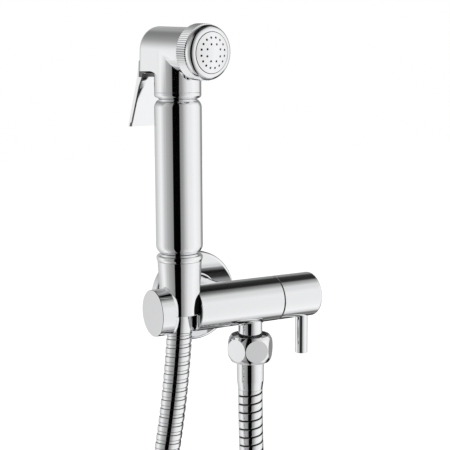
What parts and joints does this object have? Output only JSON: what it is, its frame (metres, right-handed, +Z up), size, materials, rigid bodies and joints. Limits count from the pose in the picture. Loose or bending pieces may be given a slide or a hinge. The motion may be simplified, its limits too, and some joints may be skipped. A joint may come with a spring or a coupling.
{
  "type": "douche kit",
  "caption": "Wall shut-off valve with a turning knob and a slotted cone holder, a trigger hand spray that hangs in it, and a ribbed metal hose between them.",
  "frame": {"origin": "centre of the wall flange's back, on the finished wall", "axes": "+Y into the wall along the inlet, +X along the wall from the handset to the knob, +Z up"},
  "size_m": [0.1905, 0.0781, 0.6016],
  "materials": {
    "chrome": "polished chrome plate",
    "hose_metal": "polished metal strip",
    "brass": "machined",
    "steel": "plain stainless steel",
    "ceramic": "lapped ceramic",
    "white_plastic": "moulded",
    "black_rubber": "smooth"
  },
  "bodies": {
    "wall_valve": {"wall_flange": "chrome", "valve_body": "chrome", "inlet_connector": "brass", "check_valve": "white_plastic", "inlet_filter": "black_rubber", "cartridge_seal": "black_rubber", "fixed_ceramic_disc": "ceramic", "cartridge_body": "brass", "outlet_washer": "black_rubber", "hose_hex_nut": "chrome", "hose_ferrule": "chrome", "shower_hose": "hose_metal"},
    "valve_knob": {"knob": "chrome", "lever_pin": "chrome", "lever_grub_screw": "steel", "cartridge_spindle": "brass", "moving_ceramic_disc": "ceramic", "spindle_o_ring": "black_rubber", "spindle_clip": "steel"},
    "hose_end": {"hose_collar": "chrome"},
    "handset": {"cone_nut": "chrome", "cone_washer": "black_rubber", "handset_inlet": "chrome", "lower_o_ring": "black_rubber", "grip": "chrome", "upper_ring": "chrome", "upper_o_ring": "black_rubber", "head_body": "chrome", "valve_seat": "white_plastic", "gland_nut": "brass", "gland_o_ring": "black_rubber", "knurled_ring": "chrome", "rose_gasket": "black_rubber", "bezel_ring": "chrome", "spray_plate": "chrome", "pivot_pin": "steel"},
    "trigger": {"trigger_lever": "chrome"},
    "plunger": {"valve_stem": "brass", "stem_seal": "black_rubber", "stem_button": "white_plastic", "return_spring": "steel"}
  },
  "joints": [
    {"name": "valve_turn", "type": "hinge", "parent": "wall_valve", "child": "valve_knob", "pos_m": [0, -0.035, 0], "axis": [1, 0, 0], "range_deg": [-90, 0]},
    {"name": "handset_lift", "type": "slide", "parent": "wall_valve", "child": "hose_end", "axis": [0, 0, 1], "range_m": [0, 0.06]},
    {"name": "handset_turn", "type": "hinge", "parent": "hose_end", "child": "handset", "pos_m": [-0.0258, -0.035, 0], "axis": [0, 0, 1], "continuous": true},
    {"name": "trigger_pull", "type": "hinge", "parent": "handset", "child": "trigger", "pos_m": [-0.02919, -0.01721, 0.13414], "axis": [-0.9823, -0.1874, 0], "range_deg": [0, 12], "stiffness_Nm_per_rad": 0.8, "springref_deg": -11.46},
    {"name": "stem_slide", "type": "slide", "parent": "handset", "child": "plunger", "axis": [-0.1871, 0.9809, 0.0523], "range_m": [0, 0.0022]}
  ],
  "couplings": [
    {"joint": "stem_slide", "follows": "trigger_pull", "m_per_rad": 0.0102}
  ]
}
